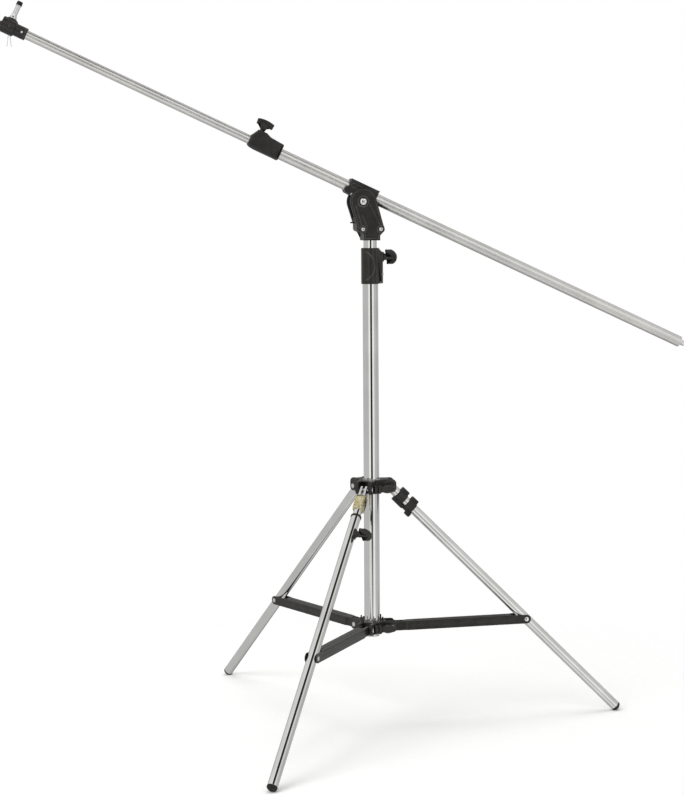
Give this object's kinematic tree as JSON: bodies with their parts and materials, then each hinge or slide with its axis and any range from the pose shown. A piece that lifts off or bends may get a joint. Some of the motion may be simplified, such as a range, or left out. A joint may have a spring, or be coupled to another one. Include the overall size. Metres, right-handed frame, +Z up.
{
  "type": "combi boom stand",
  "caption": "Folding tripod stand with braced legs, a levelling leg, a telescopic column and a tilting telescopic boom that ends in a spigot.",
  "frame": {"origin": "on the column axis at the floor that the three feet stand on", "axes": "+Z up along the column; +X to the right seen from the front, close to the right leg and to the low end of the boom; +Y to the back"},
  "size_m": [1.5315, 0.9913, 1.6173],
  "materials": {
    "chrome_tube": "polished chrome plate, thin steel tube",
    "satin_tube": "satin bright plated tube",
    "black_casting": "die-cast alloy, satin black powder coat",
    "black_plastic": "fine-grained moulded nylon",
    "black_knob": "satin moulded nylon",
    "black_steel": "satin black paint on folded steel",
    "zinc": "bright zinc plate",
    "yellow_zinc": "yellow passivated zinc plate",
    "rubber": "matt black rubber",
    "nylon": "natural nylon"
  },
  "bodies": {
    "column": {"base_tube": "chrome_tube", "tube_plug": "zinc", "riser_collar": "black_casting", "riser_collar_screw": "zinc", "riser_brake_pad": "nylon", "lower_hub": "black_casting", "hub_pins": "zinc"},
    "hub_lock": {"hub_lock_knob": "black_knob"},
    "spider": {"spider_collar": "black_casting", "spider_bush": "nylon", "spider_pins": "zinc"},
    "spider_lock": {"spider_lock_knob": "black_knob"},
    "right_brace_link": {"right_brace": "black_steel", "right_brace_rivet": "zinc"},
    "rear_brace_link": {"rear_brace": "black_steel", "rear_brace_rivet": "zinc"},
    "front_brace_link": {"front_brace": "black_steel", "front_brace_rivets": "zinc"},
    "right_leg": {"right_leg_tube": "chrome_tube", "right_leg_plug": "black_plastic", "right_foot": "rubber", "leg_clip": "black_plastic"},
    "rear_leg": {"rear_leg_tube": "chrome_tube", "rear_leg_plug": "black_plastic", "rear_foot": "rubber"},
    "front_leg": {"level_fork": "zinc", "level_block": "yellow_zinc", "level_inner_tube": "chrome_tube"},
    "front_leg_outer": {"level_outer_tube": "chrome_tube", "level_rim": "black_plastic", "level_saddle": "black_plastic", "front_foot": "rubber"},
    "level_lock": {"level_knob": "black_knob"},
    "riser_guide": {"riser_guide_bush": "nylon"},
    "riser": {"riser_tube": "chrome_tube", "head_front": "black_casting", "head_rear": "black_casting", "head_bolts": "zinc", "tilt_bolt": "zinc"},
    "riser_lock": {"riser_lock_knob": "black_knob", "riser_lock_stud": "zinc"},
    "catch_plunger": {"catch_pin": "black_steel"},
    "tilt_lock": {"tilt_handle": "black_knob"},
    "boom_clamp": {"boom_clamp_front": "black_casting", "boom_clamp_rear": "black_casting", "boom_clamp_screw": "zinc"},
    "boom_outer": {"boom_outer_tube": "satin_tube", "boom_collar": "black_plastic", "boom_collar_screw": "zinc", "boom_end_cap": "zinc"},
    "boom_lock": {"boom_lock_knob": "black_knob", "boom_lock_stud": "zinc"},
    "boom_guide": {"boom_inner_bush": "nylon"},
    "boom_inner": {"boom_inner_tube": "satin_tube", "spigot_socket": "black_casting", "spigot": "zinc", "spigot_cap": "rubber", "socket_screw": "zinc", "retaining_clip": "zinc"}
  },
  "joints": [
    {"name": "tripod_fold", "type": "slide", "parent": "column", "child": "spider", "axis": [0, 0, 1], "range_m": [0, 0.43358]},
    {"name": "right_brace_hinge", "type": "hinge", "parent": "column", "child": "right_brace_link", "pos_m": [0.04245, 0.00688, 0.216], "axis": [0.1599, -0.9871, 0], "range_deg": [0, 83.28]},
    {"name": "rear_brace_hinge", "type": "hinge", "parent": "column", "child": "rear_brace_link", "pos_m": [-0.02718, 0.03332, 0.216], "axis": [0.7749, 0.632, 0], "range_deg": [0, 83.28]},
    {"name": "front_brace_hinge", "type": "hinge", "parent": "column", "child": "front_brace_link", "pos_m": [-0.01527, -0.0402, 0.216], "axis": [-0.9348, 0.3551, 0], "range_deg": [0, 83.28]},
    {"name": "right_leg_hinge", "type": "hinge", "parent": "right_brace_link", "child": "right_leg", "pos_m": [0.3506, 0.05679, 0.22142], "axis": [-0.1599, 0.9871, 0], "range_deg": [0, 124.38]},
    {"name": "rear_leg_hinge", "type": "hinge", "parent": "rear_brace_link", "child": "rear_leg", "pos_m": [-0.22448, 0.27524, 0.22142], "axis": [-0.7749, -0.632, 0], "range_deg": [0, 124.38]},
    {"name": "front_leg_hinge", "type": "hinge", "parent": "front_brace_link", "child": "front_leg", "pos_m": [-0.12612, -0.33202, 0.22142], "axis": [0.9348, -0.3551, 0], "range_deg": [0, 124.38]},
    {"name": "leg_levelling", "type": "slide", "parent": "front_leg", "child": "front_leg_outer", "axis": [0.2515, 0.6622, 0.7059], "range_m": [-0.1, 0]},
    {"name": "level_knob_turn", "type": "hinge", "parent": "front_leg_outer", "child": "level_lock", "pos_m": [-0.04588, -0.12079, 0.44659], "axis": [0.9348, -0.3551, 0], "range_deg": [0, 180]},
    {"name": "spider_knob_turn", "type": "hinge", "parent": "spider", "child": "spider_lock", "pos_m": [0.01231, -0.03383, 0.531], "axis": [0.9397, 0.342, 0], "range_deg": [0, 180]},
    {"name": "hub_knob_turn", "type": "hinge", "parent": "column", "child": "hub_lock", "pos_m": [0.01231, -0.03383, 0.215], "axis": [0.9397, 0.342, 0], "range_deg": [0, 180]},
    {"name": "riser_slide", "type": "slide", "parent": "column", "child": "riser_guide", "axis": [0, 0, 1], "range_m": [0, 0.75]},
    {"name": "riser_swivel", "type": "hinge", "parent": "riser_guide", "child": "riser", "pos_m": [0, 0, 0.976], "axis": [0, 0, 1], "continuous": true},
    {"name": "riser_knob_turn", "type": "hinge", "parent": "column", "child": "riser_lock", "pos_m": [0.03119, -0.00438, 1.052], "axis": [0.9903, -0.1392, 0], "range_deg": [0, 180]},
    {"name": "boom_tilt", "type": "hinge", "parent": "riser", "child": "boom_clamp", "pos_m": [-0.01871, -0.0033, 1.176], "axis": [-0.1736, 0.9848, 0], "range_deg": [-70, 25]},
    {"name": "tilt_handle_turn", "type": "hinge", "parent": "riser", "child": "tilt_lock", "pos_m": [-0.01871, -0.0033, 1.176], "axis": [-0.1736, 0.9848, 0], "range_deg": [0, 180]},
    {"name": "catch_pin_press", "type": "slide", "parent": "riser", "child": "catch_plunger", "axis": [0.9848, 0.1736, 0], "range_m": [0, 0.005], "stiffness_N_per_m": 300},
    {"name": "boom_slide", "type": "slide", "parent": "boom_clamp", "child": "boom_outer", "axis": [0.8918, 0.1573, -0.4242], "range_m": [-0.6, 0.15]},
    {"name": "boom_knob_turn", "type": "hinge", "parent": "boom_outer", "child": "boom_lock", "pos_m": [-0.23835, -0.04203, 1.33403], "axis": [0.4178, 0.0737, 0.9056], "range_deg": [0, 180]},
    {"name": "boom_extension", "type": "slide", "parent": "boom_outer", "child": "boom_guide", "axis": [0.8918, 0.1573, -0.4242], "range_m": [-0.19, 0.52]},
    {"name": "boom_roll", "type": "hinge", "parent": "boom_guide", "child": "boom_inner", "pos_m": [-0.01077, -0.0019, 1.19321], "axis": [0.8918, 0.1573, -0.4242], "continuous": true}
  ],
  "couplings": [
    {"joint": "right_brace_hinge", "follows": "tripod_fold", "rad_per_m": 3.352},
    {"joint": "rear_brace_hinge", "follows": "tripod_fold", "rad_per_m": 3.352},
    {"joint": "front_brace_hinge", "follows": "tripod_fold", "rad_per_m": 3.352},
    {"joint": "right_leg_hinge", "follows": "tripod_fold", "rad_per_m": 5.0065},
    {"joint": "rear_leg_hinge", "follows": "tripod_fold", "rad_per_m": 5.0065},
    {"joint": "front_leg_hinge", "follows": "tripod_fold", "rad_per_m": 5.0065}
  ]
}
